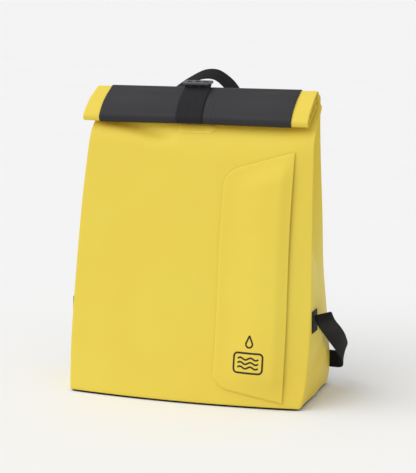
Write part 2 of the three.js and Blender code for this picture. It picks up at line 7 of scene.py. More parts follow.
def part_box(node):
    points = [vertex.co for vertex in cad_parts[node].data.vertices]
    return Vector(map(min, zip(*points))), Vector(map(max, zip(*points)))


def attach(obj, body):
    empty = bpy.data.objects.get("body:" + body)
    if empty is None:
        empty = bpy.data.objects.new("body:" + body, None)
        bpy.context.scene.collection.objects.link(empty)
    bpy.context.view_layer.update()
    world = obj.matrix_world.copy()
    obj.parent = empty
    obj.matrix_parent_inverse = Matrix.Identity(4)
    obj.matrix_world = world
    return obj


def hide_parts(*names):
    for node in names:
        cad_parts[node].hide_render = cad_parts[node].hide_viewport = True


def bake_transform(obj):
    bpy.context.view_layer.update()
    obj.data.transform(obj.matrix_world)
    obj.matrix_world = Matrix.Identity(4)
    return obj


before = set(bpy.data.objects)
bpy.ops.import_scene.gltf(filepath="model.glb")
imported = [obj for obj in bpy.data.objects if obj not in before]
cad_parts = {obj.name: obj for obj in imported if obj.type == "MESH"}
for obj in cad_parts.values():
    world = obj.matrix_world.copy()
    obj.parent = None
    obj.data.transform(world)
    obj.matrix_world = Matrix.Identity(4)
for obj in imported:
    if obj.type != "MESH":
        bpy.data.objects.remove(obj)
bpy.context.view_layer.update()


# Bag shell -----------------------------------------------------------------------------------------
# The front, both folded sides and the back are one tube of thermoplastic-coated polyester, hot-air
# welded along the middle of the back. It hangs from the rolled collar and stands on a stiff base, so
# the front crowns out, the sides fold inwards higher up, and the cloth creases under the roll.

WALL_TOP = 0.356  # where the front turns back under the roll
CLOTH = 0.0012
ROLL_TILT = math.radians(48.2)
ROLL_ORIGIN = Vector((0, 0.020, 0.4143))  # the roll's face starts here and runs down
SEAT_DEPTH = 0.0168  # from that face to the slope it lies on
TURN = 0.0050  # how softly the front turns back at WALL_TOP


def lerp(a, b, share):
    return a + (b - a) * share


def smooth(value, low, high):
    share = min(max((value - low) / (high - low), 0.0), 1.0)
    return share * share * (3 - 2 * share)


def through(table, at):
    """The value at a place on a smooth line through (place, value) pairs."""
    i = 0
    while i < len(table) - 2 and at > table[i + 1][0]:
        i += 1
    (x1, y1), (x2, y2) = table[i], table[i + 1]
    x0, y0 = table[i - 1] if i else (2 * x1 - x2, 2 * y1 - y2)
    x3, y3 = table[i + 2] if i + 2 < len(table) else (2 * x2 - x1, 2 * y2 - y1)
    t = min(max((at - x1) / (x2 - x1), 0.0), 1.0)
    m1 = (y2 - y0) / (x2 - x0) * (x2 - x1)
    m2 = (y3 - y1) / (x3 - x1) * (x2 - x1)
    return (
        y1 * (2 * t**3 - 3 * t**2 + 1)
        + m1 * (t**3 - 2 * t**2 + t)
        + y2 * (3 * t**2 - 2 * t**3)
        + m2 * (t**3 - t**2)
    )


def on_roll(y, z, x=0.0):
    """A point given in the roll's own depth and height, as a place in the bag's frame."""
    c, s = math.cos(ROLL_TILT), math.sin(ROLL_TILT)
    return ROLL_ORIGIN + Vector((x, c * y + s * z, -s * y + c * z))


# Height and half width of the standing bag, which leans a few millimetres to its right.
RIGHT_EDGE = [
    (0, 0.164), (0.02, 0.1685), (0.06, 0.1715), (0.14, 0.172), (0.276, 0.1675), (0.356, 0.1655), (0.4, 0.1655),
]
LEFT_EDGE = [
    (0, -0.165), (0.06, -0.1665), (0.125, -0.1655), (0.262, -0.160), (0.356, -0.1525), (0.4, -0.149),
]


def slope_y(z):
    """Depth of the slope under the roll, which the front turns back on to."""
    start = on_roll(SEAT_DEPTH, 0)
    return start.y + (z - start.z) * math.tan(ROLL_TILT)


def wall_y(z):
    wall = lerp(-0.075, slope_y(WALL_TOP), z / WALL_TOP)
    back = max(min((slope_y(z) - wall) / TURN, 30), -30)
    return wall + TURN * math.log1p(math.exp(back))


def back_y(z):
    return lerp(0.075, 0.03797, z / 0.40996)


def arc(centre, radius, start, end, count):
    """Points on an arc, both its ends included."""
    angles = [lerp(start, end, i / count) for i in range(count + 1)]
    return [(centre[0] + radius * math.cos(a), centre[1] + radius * math.sin(a)) for a in angles]


def along(line, share):
    """The point at a share of a line's length, the line being a list of points."""
    spans = [math.dist(a, b) for a, b in zip(line, line[1:])]
    at = share * sum(spans)
    for (a, b), span in zip(zip(line, line[1:]), spans):
        if at <= span or b is line[-1]:
            t = min(at / span, 1.0) if span else 0.0
            return tuple(lerp(p, q, t) for p, q in zip(a, b))
        at -= span


def line_length(line):
    return sum(math.dist(a, b) for a, b in zip(line, line[1:]))


def crease(x, z, line, depth, above, below):
    """A fold pressed in along a line of points: steep on its lower side, soft on its upper side."""
    best = None
    for (x1, z1), (x2, z2) in zip(line, line[1:]):
        dx, dz = x2 - x1, z2 - z1
        t = min(max(((x - x1) * dx + (z - z1) * dz) / (dx * dx + dz * dz), 0.0), 1.0)
        gap = math.hypot(x - x1 - t * dx, z - z1 - t * dz)
        if best is None or gap < best[0]:
            best = (gap, z - z1 - t * dz)
    width = above if best[1] > 0 else below
    return -depth * math.exp(-((best[0] / width) ** 2))


# Across and height of the fold under the roll's left end, then height and depth of the tuck that
# draws the back edge of each side inwards.
LEFT_FOLD = [
    (-0.134, 0.370), (-0.120, 0.368), (-0.0934, 0.3618), (-0.0694, 0.3553), (-0.0476, 0.3515), (-0.031, 0.3506),
]
BACK_TUCK = [
    (0, 0), (0.05, 0.003), (0.115, 0.008), (0.17, 0.0105), (0.226, 0.009), (0.254, 0.008), (0.34, 0.007),
    (0.41, 0.006),
]
SIDE_FOLD = 0.042  # how far the middle of a side folds in at the top


def front_folds(x, z):
    """How far the cloth of the front stands off its plain crowned shape."""
    fade = smooth(z, 0.0, 0.05) * (1 - smooth(z, 0.385, 0.40))
    edge = 1 - abs(x / 0.165) ** 4
    # Slow and quick unevenness of the taut cloth.
    out = 0.0016 * noise.noise((x * 9 + 3, z * 6, 1.7)) + 0.0007 * noise.noise((x * 24, z * 15, 6.1))
    out *= max(edge, 0) * fade
    # The fold under the roll's left end, with the swelling below it.
    share = 1 - smooth(x, -0.060, -0.016)
    out += share * crease(x, z, LEFT_FOLD, 0.0078, 0.012, 0.0042)
    below = z - 0.343 + 0.2 * (x + 0.085)
    out += share * 0.0018 * math.exp(-(((x + 0.085) / 0.05) ** 2) - ((below / 0.010) ** 2))
    # The crease under its right end, the bulge beside the pocket and the front's drawn-in right edge.
    out += crease(x, z, [(0.035, 0.372), (0.09, 0.370), (0.150, 0.368)], 0.0030, 0.010, 0.014) * fade
    out += 0.0014 * math.exp(-(((x - 0.155) / 0.009) ** 2) - (((z - 0.24) / 0.045) ** 2))
    out -= 0.0034 * smooth(x, 0.134, 0.168) * fade
    return out


def front_y(x, z, out=0.0):
    """The front's outer surface, out metres in front of it."""
    left, right = through(LEFT_EDGE, z), through(RIGHT_EDGE, z)
    across = 1 - min(abs((2 * x - left - right) / (right - left)), 1) ** 2
    low = lerp(1, 0.25, min(max(z / WALL_TOP, 0), 1))
    high = 1 - smooth(z, WALL_TOP - 0.034, WALL_TOP + 0.012)
    return wall_y(z) - 0.012 * across * low * high - front_folds(x, z) - out


def side_point(side, share, z):
    """A point of a side from the front edge (share 0) to the back edge (share 1)."""
    edge = through(RIGHT_EDGE, z) if side > 0 else -through(LEFT_EDGE, z)
    front = front_y(side * edge, z)
    deep = SIDE_FOLD * smooth(z, 0.13, WALL_TOP)
    valley = (1 - abs(2 * share - 1)) ** 1.15
    soft = 4 * share * (1 - share)
    bulge = 0.004 * soft * (1 - smooth(z, 0.10, 0.30)) * smooth(z, 0.0, 0.05)
    ripple = 0.0015 * soft * noise.noise((share * 3, z * 11, 8.0 + side))
    tuck = 0.0040 * soft * math.exp(-(((z - 0.040 - 0.055 * share) / 0.010) ** 2))
    back_in = share * through(BACK_TUCK, z)
    x = edge - deep * valley + bulge + ripple - tuck - back_in
    return Vector((side * x, lerp(front, back_y(z), share), z))


FRONT_STATIONS = [0, 0.010, 0.026, 0.05] + [0.05 + 0.9 * i / 42 for i in range(1, 43)] + [0.974, 0.990]
SIDE_STATIONS = [0, 0.022, 0.055, 0.11] + [0.11 + 0.78 * i / 16 for i in range(1, 17)] + [0.945, 0.978]
BACK_STATIONS = [0, 0.010, 0.026, 0.05] + [0.05 + 0.9 * i / 20 for i in range(1, 21)] + [0.974, 0.990]
STATIONS = (
    [("back", s) for s in BACK_STATIONS if s >= 0.5]
    + [("left", s) for s in SIDE_STATIONS]
    + [("front", s) for s in FRONT_STATIONS]
    + [("right", s) for s in SIDE_STATIONS]
    + [("back", s) for s in BACK_STATIONS if s < 0.5]
    + [("back", s) for s in BACK_STATIONS if s >= 0.5][:1]
)
SHELL_ROWS = 70


def wall_height(share, top):
    if share < 0.8:
        return lerp(0.0024, WALL_TOP - 0.006, share / 0.8)
    return lerp(WALL_TOP - 0.006, top, (share - 0.8) / 0.2)


def shell_point(column, share):
    kind, s = STATIONS[column]
    top = {"front": 0.3991, "left": 0.3925, "right": 0.3925, "back": 0.4100}[kind]
    z = wall_height(share, top)
    if kind == "front":
        x = lerp(through(LEFT_EDGE, z), through(RIGHT_EDGE, z), s)
        point = Vector((x, front_y(x, z), z))
    elif kind == "back":
        right = side_point(1, 1, z).x
        left = side_point(-1, 1, z).x
        point = Vector((lerp(right, left, s), back_y(z), z))
    else:
        point = side_point(1 if kind == "right" else -1, s if kind == "right" else 1 - s, z)
    # The lowest few millimetres curl in to the weld with the base.
    curl = 1 - smooth(z, 0.0, 0.009)
    return Vector((point.x * (1 - 0.003 * curl), point.y * (1 - 0.004 * curl), point.z))


def deselect():
    bpy.ops.object.select_all(action="DESELECT")


def modify(piece, kind, **settings):
    """Adds a modifier to a piece and applies it."""
    deselect()
    piece.select_set(True)
    bpy.context.view_layer.objects.active = piece
    modifier = piece.modifiers.new(kind.title(), kind)
    for name, value in settings.items():
        setattr(modifier, name, value)
    bpy.ops.object.modifier_apply(modifier=modifier.name)


def round_over(piece, levels=1):
    """Smooths a piece with subdivision surfaces and shades it smooth."""
    if levels:
        modify(piece, "SUBSURF", levels=levels, render_levels=levels)
    deselect()
    piece.select_set(True)
    bpy.context.view_layer.objects.active = piece
    bpy.ops.object.shade_smooth()


def cut_cloth(name, columns, rows, size, place, thickness, offset=-1, levels=1):
    """A flat cloth cut as a grid with its UV map in metres, bent into place and given its thickness."""
    deselect()
    bpy.ops.mesh.primitive_grid_add(
        x_subdivisions=columns, y_subdivisions=rows, size=1, location=(0, 0, 0)
    )
    piece = bpy.context.object
    piece.name = name
    mesh = piece.data
    mesh.name = name
    for loop in mesh.uv_layers.active.data:
        loop.uv = (loop.uv.x * size[0], loop.uv.y * size[1])
    for vertex in mesh.vertices:
        vertex.co = place(vertex.co.x + 0.5, vertex.co.y + 0.5)
    bpy.ops.object.mode_set(mode="EDIT")
    bpy.ops.mesh.select_all(action="SELECT")
    bpy.ops.mesh.remove_doubles(threshold=0.00002)
    bpy.ops.object.mode_set(mode="OBJECT")
    modify(piece, "SOLIDIFY", thickness=thickness, offset=offset, use_even_offset=False)
    round_over(piece, levels)
    return piece


def linear(code):
    """A hex colour as the linear colour that a shader takes."""
    parts = [int(code[i : i + 2], 16) / 255 for i in (1, 3, 5)]
    return [p / 12.92 if p <= 0.04045 else ((p + 0.055) / 1.055) ** 2.4 for p in parts] + [1.0]


def new_material(name):
    material = bpy.data.materials.new(name)
    material.use_nodes = True
    return material


def add_node(material, kind, settings=(), values=(), links=()):
    """Adds one node with its settings, its sockets' values and the links into it."""
    tree = material.node_tree
    if kind == "ShaderNodeBsdfPrincipled":
        node = tree.nodes["Principled BSDF"]
    else:
        node = tree.nodes.new(kind)
    for name, value in dict(settings).items():
        setattr(node, name, value)
    for socket, value in dict(values).items():
        node.inputs[socket].default_value = value
    for socket, source in dict(links).items():
        tree.links.new(source, node.inputs[socket])
    return node


def dress(piece, material):
    piece.data.materials.clear()
    piece.data.materials.append(material)
    for face in piece.data.polygons:
        face.material_index = 0


def coated_cloth(name, light, deep, rough, scrim):
    """Calendered film over a plain-weave scrim: satin, with the threads faintly showing through."""
    material = new_material(name)
    place = add_node(material, "ShaderNodeTexCoord")
    drift = add_node(
        material, "ShaderNodeTexNoise",
        values={"Scale": 9.0, "Detail": 2.0, "Roughness": 0.5}, links={"Vector": place.outputs["Object"]},
    )
    shade = add_node(
        material, "ShaderNodeMix", settings={"data_type": "RGBA"},
        values={6: linear(light), 7: linear(deep)}, links={0: drift.outputs["Fac"]},
    )
    # Threads 1.3 mm apart, drawn from the two directions of the weave.
    warp = add_node(
        material, "ShaderNodeTexWave", settings={"bands_direction": "X"},
        values={"Scale": 240.0, "Distortion": 0.6, "Detail": 1.0}, links={"Vector": place.outputs["Object"]},
    )
    weft = add_node(
        material, "ShaderNodeTexWave", settings={"bands_direction": "Z"},
        values={"Scale": 240.0, "Distortion": 0.6, "Detail": 1.0}, links={"Vector": place.outputs["Object"]},
    )
    cross = add_node(
        material, "ShaderNodeMath", settings={"operation": "MULTIPLY"},
        links={0: warp.outputs["Fac"], 1: weft.outputs["Fac"]},
    )
    film = add_node(
        material, "ShaderNodeTexNoise", values={"Scale": 420.0, "Detail": 3.0},
        links={"Vector": place.outputs["Object"]},
    )
    height = add_node(
        material, "ShaderNodeMath", settings={"operation": "MULTIPLY_ADD"}, values={1: scrim},
        links={0: cross.outputs["Value"], 2: film.outputs["Fac"]},
    )
    bump = add_node(
        material, "ShaderNodeBump", values={"Strength": 0.16, "Distance": 0.0003},
        links={"Height": height.outputs["Value"]},
    )
    gloss = add_node(
        material, "ShaderNodeMapRange", values={"To Min": rough - 0.05, "To Max": rough + 0.07},
        links={"Value": drift.outputs["Fac"]},
    )
    add_node(
        material, "ShaderNodeBsdfPrincipled", values={"IOR": 1.5, "Specular IOR Level": 0.13},
        links={
            "Base Color": shade.outputs[2], "Roughness": gloss.outputs["Result"], "Normal": bump.outputs["Normal"],
        },
    )
    return material


# Yellow film, satin from the calender rolls: the light spreads wide and the colour drifts a little.
yellow_coated_cloth = coated_cloth("yellow_coated_polyester", "#e6d556", "#e9c94e", 0.46, 0.5)

PERIMETER = 2 * (0.330 + 0.150)
SHELL_HEIGHT = 0.41
shell = cut_cloth(
    "bag_shell", len(STATIONS) - 1, SHELL_ROWS, (PERIMETER, SHELL_HEIGHT),
    lambda u, v: shell_point(round(u * (len(STATIONS) - 1)), v), CLOTH, levels=1,
)
dress(shell, yellow_coated_cloth)
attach(shell, "bag")
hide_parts("front_panel", "gusset_left", "gusset_right", "back_panel")


# Base ------------------------------------------------------------------------------------------------
# A sheet of black rubber-coated cloth welded to the shell's lower edge, with a foam board inside it
# and another behind the back wall. Only the base's edge shows, as a dark line under the yellow.

def base_point(u, v):
    x = lerp(-0.1640, 0.1632, u)
    front = front_y(x * 0.995, 0.0) + 0.0008
    corner = 0.002 * smooth(abs(x), 0.155, 0.1635)
    return Vector((x, lerp(front + corner, 0.0742, v), 0.0022))


def woven_cloth(name, dark, lit, pitch, rough, strength):
    """Plain-woven nylon: thread rows pitch metres apart, in both directions of the cloth."""
    material = new_material(name)
    place = add_node(material, "ShaderNodeTexCoord")
    rows = []
    for direction in ("X", "Y"):
        rows.append(
            add_node(
                material, "ShaderNodeTexWave", settings={"bands_direction": direction},
                values={"Scale": 0.314 / pitch, "Distortion": 0.5}, links={"Vector": place.outputs["UV"]},
            )
        )
    weave = add_node(
        material, "ShaderNodeMath", settings={"operation": "ADD"},
        links={0: rows[0].outputs["Fac"], 1: rows[1].outputs["Fac"]},
    )
    fibres = add_node(
        material, "ShaderNodeTexNoise", values={"Scale": 900.0, "Detail": 3.0},
        links={"Vector": place.outputs["Object"]},
    )
    height = add_node(
        material, "ShaderNodeMath", settings={"operation": "ADD"},
        links={0: weave.outputs["Value"], 1: fibres.outputs["Fac"]},
    )
    shade = add_node(
        material, "ShaderNodeMapRange", values={"From Max": 3.0}, links={"Value": height.outputs["Value"]}
    )
    colour = add_node(
        material, "ShaderNodeMix", settings={"data_type": "RGBA"},
        values={6: linear(dark), 7: linear(lit)}, links={0: shade.outputs["Result"]},
    )
    bump = add_node(
        material, "ShaderNodeBump", values={"Strength": strength, "Distance": 0.0004},
        links={"Height": height.outputs["Value"]},
    )
    add_node(
        material, "ShaderNodeBsdfPrincipled",
        values={"Roughness": rough, "IOR": 1.5, "Specular IOR Level": 0.25, "Sheen Weight": 0.04},
        links={"Base Color": colour.outputs[2], "Normal": bump.outputs["Normal"]},
    )
    return material


black_packcloth = woven_cloth("black_nylon_packcloth", "#0c0c0e", "#1c1c1f", 0.0011, 0.72, 0.5)
BASE_FLAT = (0.327, 0.16)
base = cut_cloth("base_cloth", 44, 16, BASE_FLAT, base_point, 0.0019, levels=1)
dress(base, black_packcloth)
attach(base, "bag")
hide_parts("base_panel")

# Closed-cell foam board, cut from a sheet: small round cells in the cut faces.
foam_board = new_material("closed_cell_foam_board")
place = add_node(foam_board, "ShaderNodeTexCoord")
cells = add_node(
    foam_board, "ShaderNodeTexVoronoi", values={"Scale": 700.0}, links={"Vector": place.outputs["Object"]}
)
colour = add_node(
    foam_board, "ShaderNodeMix", settings={"data_type": "RGBA"},
    values={6: linear("#3c3d40"), 7: linear("#5a5b5f")}, links={0: cells.outputs["Distance"]},
)
bump = add_node(
    foam_board, "ShaderNodeBump", values={"Strength": 0.4, "Distance": 0.0003},
    links={"Height": cells.outputs["Distance"]},
)
add_node(
    foam_board, "ShaderNodeBsdfPrincipled", values={"Roughness": 0.9},
    links={"Base Color": colour.outputs[2], "Normal": bump.outputs["Normal"]},
)
for name in ("base_board", "back_board"):
    dress(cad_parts[name], foam_board)


# Front pocket ----------------------------------------------------------------------------------------
# A flat panel of the same cloth welded on three sides, with rounded corners on its left. Its right
# edge is free and stands off the wall, so that a hand reaches the zip behind it.

POCKET_LEFT, POCKET_RIGHT, POCKET_CORNER = 0.0445, 0.1405, 0.021
POCKET_WIDTH = POCKET_RIGHT - POCKET_LEFT
POCKET_FLAT = (0.099, 0.31)


def pocket_edges(across):
    """Heights of the panel's lower and upper edges at a distance from its left edge."""
    share = across / POCKET_WIDTH
    inside = max(POCKET_CORNER - across, 0)
    corner = POCKET_CORNER - math.sqrt(POCKET_CORNER**2 - inside**2)
    return lerp(0.027, 0.009, share) + corner, WALL_TOP - lerp(0.046, 0.018, share) - corner


def pocket_out(across, v):
    """How far the panel stands off the wall."""
    ends = smooth(min(v, 1 - v), 0, 0.11)
    rise = smooth(across, 0.006, POCKET_WIDTH - 0.0304)
    weld = 0.0006 * smooth(across, 0.0, 0.004) * smooth(min(v, 1 - v), 0, 0.012)
    shut = 0.0046 * smooth(across, POCKET_WIDTH - 0.0165, POCKET_WIDTH + 0.002)
    wave = 0.0006 * math.sin(v * 9 + 1) * rise
    return 0.0006 + weld + (0.0060 * rise - shut + wave) * ends


def pocket_point(u, v):
    across = POCKET_WIDTH * (1 - (1 - u) ** 1.3)
    low, high = pocket_edges(max(across, 0.0008))
    z = lerp(low, high, v)
    x = POCKET_LEFT + across + 0.0008 * math.sin(v * 7)
    return Vector((x, front_y(x, z, pocket_out(across, v)), z))


pocket = cut_cloth("pocket_cloth", 40, 90, POCKET_FLAT, pocket_point, 0.0011, offset=1, levels=1)
dress(pocket, yellow_coated_cloth)
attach(pocket, "bag")
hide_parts("pocket_panel")


# Printed symbol ----------------------------------------------------------------------------------------
# A plain wordless symbol screen-printed on the pocket: wavy lines in a rounded frame, and a drop
# above it. The ink lies a tenth of a millimetre over the cloth.

def on_pocket(x, z, lift):
    across = x - POCKET_LEFT
    low, high = pocket_edges(max(across, 0.0008))
    return Vector((x, front_y(x, z, pocket_out(across, (z - low) / (high - low)) + lift), z))


def ink_stroke(name, points, width):
    """A printed line through (x, z) points on the pocket."""
    def place(u, v):
        x, z = along(points, v)
        x1, z1 = along(points, max(v - 0.003, 0))
        x2, z2 = along(points, min(v + 0.003, 1))
        length = math.hypot(x2 - x1, z2 - z1)
        side = (u - 0.5) * width
        return on_pocket(x - side * (z2 - z1) / length, z + side * (x2 - x1) / length, 0.00128)

    return cut_cloth(name, 2, 90, (width, line_length(points)), place, 0.0001, offset=1, levels=0)


screen_ink = new_material("black_screen_printing_ink")
add_node(
    screen_ink, "ShaderNodeBsdfPrincipled",
    values={"Base Color": linear("#262320"), "Roughness": 0.55, "IOR": 1.48, "Specular IOR Level": 0.35},
)
frame_line = []
corners = [(0.1090, 0.0535), (0.1090, 0.0695), (0.0790, 0.0695), (0.0790, 0.0535)]
for corner, turn in zip(corners, (-0.5, 0.0, 0.5, 1.0)):
    frame_line += arc(corner, 0.005, turn * math.pi, (turn + 0.5) * math.pi, 8)
frame_line.append(frame_line[0])
drop_line = arc((0.0945, 0.0865), 0.0046, -1.22 * math.pi, 0.22 * math.pi, 24) + [(0.0945, 0.0975)]
drop_line.append(drop_line[0])
strokes = [ink_stroke("printed_symbol", frame_line, 0.0024), ink_stroke("symbol_drop", drop_line, 0.0022)]
for i in range(3):
    wave = [
        (0.0795 + 0.029 * t / 40, 0.0556 + 0.0058 * i + 0.0014 * math.sin(t * math.pi / 10))
        for t in range(41)
    ]
    strokes.append(ink_stroke(f"symbol_wave_{i}", wave, 0.0022))
deselect()
for stroke in strokes:
    stroke.select_set(True)
bpy.context.view_layer.objects.active = strokes[0]
bpy.ops.object.join()
symbol = bpy.context.object
dress(symbol, screen_ink)
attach(symbol, "bag")


# Zip -------------------------------------------------------------------------------------------------
# A coated coil zip on woven tape behind the pocket's free edge. The slider and its pull are moulded
# acetal, and the stops are crimped on the coil's ends.

ZIP_X, ZIP_LOW, ZIP_HIGH = 0.123, 0.031, 0.316
TAPE_FLAT = (0.024, 0.285)


def zip_point(u, v):
    z = lerp(ZIP_LOW, ZIP_HIGH, v)
    x = ZIP_X + (u - 0.5) * TAPE_FLAT[0]
    coil = 0.0009 * math.exp(-(((u - 0.5) / 0.09) ** 2))
    teeth = 0.00025 * math.sin(z * 2 * math.pi / 0.0024) * math.exp(-(((u - 0.5) / 0.08) ** 4))
    return Vector((x, front_y(x, z, 0.0008 + coil + teeth), z))


tape = cut_cloth("zip_tape_cloth", 16, 480, TAPE_FLAT, zip_point, 0.0006, offset=-1, levels=0)
dress(tape, woven_cloth("black_polyester_zip_tape", "#101012", "#29292c", 0.0012, 0.65, 0.5))
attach(tape, "bag")
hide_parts("zip_tape")


def moulded_plastic(name, code, edge_tone, rough):
    """Injection-moulded acetal: an even satin from the spark-eroded mould, paler along its sharp edges."""
    material = new_material(name)
    place = add_node(material, "ShaderNodeTexCoord")
    grain = add_node(
        material, "ShaderNodeTexNoise", values={"Scale": 1400.0, "Detail": 2.0},
        links={"Vector": place.outputs["Object"]},
    )
    edge = add_node(material, "ShaderNodeNewGeometry")
    # The colour turns paler along the sharp convex edges, where the surface is most pointed.
    edge_share = add_node(
        material, "ShaderNodeMapRange", values={"From Min": 0.52, "From Max": 0.62},
        links={"Value": edge.outputs["Pointiness"]},
    )
    colour = add_node(
        material, "ShaderNodeMix", settings={"data_type": "RGBA"},
        values={6: linear(code), 7: linear(edge_tone)}, links={0: edge_share.outputs["Result"]},
    )
    bump = add_node(
        material, "ShaderNodeBump", values={"Strength": 0.12, "Distance": 0.0002},
        links={"Height": grain.outputs["Fac"]},
    )
    add_node(
        material, "ShaderNodeBsdfPrincipled", values={"Roughness": rough, "IOR": 1.48},
        links={"Base Color": colour.outputs[2], "Normal": bump.outputs["Normal"]},
    )
    return material


black_acetal = moulded_plastic("black_moulded_acetal", "#17171a", "#2c2c30", 0.42)
for name in ("zip_slider", "zip_puller", "zip_stop_top", "zip_stop_bottom", "lip_stiffener"):
    dress(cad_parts[name], black_acetal)


# Seat patch ------------------------------------------------------------------------------------------
# A small pad of the same cloth, welded on under the strap so that the roll doesn't rub through the
# front. The weld shows as a shallow line round it.

SEAT_FLAT = (0.052, 0.0135)


def seat_point(u, v):
    x = lerp(-0.0255, 0.0265, u)
    low = 0.3576 + 0.0040 * (1 - smooth(min(u, 1 - u) * SEAT_FLAT[0], 0, 0.006))
    z = lerp(low, 0.3678, v)
    inset = min(min(u, 1 - u) * SEAT_FLAT[0], v * 0.009)
    out = 0.0008 + 0.0009 * smooth(inset, 0.0, 0.0022)
    return Vector((x, front_y(x, z, out), z))


seat = cut_cloth("seat_patch_cloth", 36, 14, SEAT_FLAT, seat_point, 0.0011, offset=-1, levels=1)
dress(seat, yellow_coated_cloth)
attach(seat, "bag")
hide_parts("seat_patch")


# Roll ------------------------------------------------------------------------------------------------
# The bag's collar, rolled forward over a stiffened lip into a flat roll that leans back on the front.
# Its ends show the turns of yellow cloth, and a charcoal cover panel is welded over its middle.

# Centres of the two bends, in the roll's own depth and height.
CREST = (0.0085, 0.0)
HEM = (0.0075, -0.050)
ROLL_WIDTH = 0.316


def roll_slack(x, y, z):
    """The roll is cloth: its face is pressed a little hollow and waves along its length."""
    wave = 0.0006 * noise.noise((x * 22, z * 30, 4.4)) + 0.0005 * math.sin(x * 31 + 1)
    return wave * smooth(-z, 0.0, 0.012) * (1 - smooth(-z, 0.038, 0.050))


def lie_on_bag(x, y, z):
    """The roll's lower edge is pulled up in the middle by the strap, and slides a little to the left."""
    low = smooth(-z, 0.0, 0.052)
    raised = z + 0.0010 * low * math.exp(-((x / 0.08) ** 2))
    pointed = 0.0022 * low * smooth(-x, 0.120, 0.158)
    belly = 0.0042 * math.sin(math.pi * min(max(-z / 0.050, 0), 1)) * (1 - smooth(y, 0.0005, 0.0065))
    return on_roll(y + roll_slack(x, y, z) - belly, raised, x - 0.0025 * low - pointed)


def roll_cloth(name, line, width, columns, flare, spiral=0.0):
    """One turn of the collar: a line in depth and height, drawn out across the bag."""
    def place(u, v):
        x = (u - 0.5) * width
        y, z = along(line, v)
        end = smooth(abs(x), width / 2 - 0.03, width / 2)
        x += math.copysign(flare, x) * end * (0.5 + noise.noise((v * 5, x * 4, 2.2)))
        x += spiral * smooth(x, 0.125, 0.156) * smooth(z, -0.020, 0.004)
        return lie_on_bag(x, y + end * 0.0008 * noise.noise((v * 7, 3.1, x * 9)), z)

    return cut_cloth(name, columns, 60, (width, line_length(line)), place, CLOTH, offset=0)


outer_line = (
    arc(CREST, 0.0065, math.pi * 0.08, math.pi, 16)
    + arc(HEM, 0.0055, math.pi, 2 * math.pi, 14)
    + [(0.013, -0.0105)]
)
outer_wrap = roll_cloth("roll_outer_cloth", outer_line, ROLL_WIDTH, 90, flare=0.0012)
inner_line = (
    [(0.0041, -0.0025)]
    + arc(HEM, 0.0034, math.pi, 2 * math.pi, 12)
    + arc((0.0093, -0.0085), 0.0016, 0, math.pi, 8)
    + [(0.0077, -0.0345)]
)
inner_wrap = roll_cloth("roll_inner_cloth", inner_line, ROLL_WIDTH - 0.004, 60, flare=0.0010, spiral=0.0030)
for piece, node, line in (
    (outer_wrap, "roll_outer_wrap", outer_line), (inner_wrap, "roll_inner_wrap", inner_line),
):
    dress(piece, yellow_coated_cloth)
    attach(piece, "roll")
    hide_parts(node)
    line_length(line)

# Charcoal tarpaulin, smoother than the yellow: a soft highlight along the crest.
charcoal_tarpaulin = coated_cloth("charcoal_coated_tarpaulin", "#38383a", "#2e2e31", 0.42, 0.3)
cover_line = arc(CREST, 0.0080, math.pi * 0.4, math.pi, 14) + arc(HEM, 0.0070, math.pi, math.pi * 1.62, 12)
COVER_FLAT = (0.272, line_length(cover_line))


def cover_point(u, v):
    x = (u - 0.5) * COVER_FLAT[0]
    y, z = along(cover_line, v)
    # Short creases beside the strap, where it pulls the cover in.
    near = math.exp(-(((x - 0.020) / 0.010) ** 2)) * smooth(-z, -0.002, 0.02)
    y += 0.0004 * near * math.sin(x * 2 * math.pi / 0.006)
    return lie_on_bag(x, y, z)


cover = cut_cloth("roll_cover_cloth", 120, 44, COVER_FLAT, cover_point, 0.001, offset=0)
dress(cover, charcoal_tarpaulin)
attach(cover, "roll")
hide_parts("roll_cover")


# Back pad and yoke -----------------------------------------------------------------------------------
# A foam pad under spacer mesh, sewn down in channels, and above it a patch of packcloth welded to the
# back wall, which carries the straps and the handle.

def loose_copy(node, name):
    """A new object with a copy of a CAD node's mesh, its loose faces joined."""
    deselect()
    piece = bpy.data.objects.new(name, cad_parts[node].data.copy())
    bpy.context.scene.collection.objects.link(piece)
    piece.select_set(True)
    bpy.context.view_layer.objects.active = piece
    bpy.ops.object.mode_set(mode="EDIT")
    bpy.ops.mesh.select_all(action="SELECT")
    bpy.ops.mesh.remove_doubles(threshold=0.0001)
    bpy.ops.object.mode_set(mode="OBJECT")
    return piece


def swell(piece, voxel, sewn, inset, cap, pressure=4.0):
    """Puffs a pad up as filled cloth: sewn(point) says where it is held, cap is how far it may move."""
    modify(piece, "REMESH", mode="VOXEL", voxel_size=voxel)
    mesh = piece.data
    normals = [v.normal.copy() for v in mesh.vertices]
    for vertex, normal in zip(mesh.vertices, normals):
        vertex.co -= normal * inset
    start = [v.co.copy() for v in mesh.vertices]
    held = piece.vertex_groups.new(name="sewn")
    held.add([v.index for v in mesh.vertices if sewn(v.co)], 1.0, "REPLACE")
    cloth = piece.modifiers.new("Cloth", "CLOTH")
    cloth.settings.use_pressure = True
    cloth.settings.uniform_pressure_force = pressure
    cloth.settings.effector_weights.gravity = 0
    cloth.settings.vertex_group_mass = "sewn"
    cloth.settings.quality = 5
    for number in range(1, 21):
        bpy.context.scene.frame_set(number)
    deselect()
    piece.select_set(True)
    bpy.context.view_layer.objects.active = piece
    bpy.ops.object.modifier_apply(modifier="Cloth")
    bpy.context.scene.frame_set(1)
    for vertex, rest in zip(piece.data.vertices, start):
        move = vertex.co - rest
        if move.length > cap:
            vertex.co = rest + move * (cap / move.length)
    piece.vertex_groups.clear()
    round_over(piece, 1)


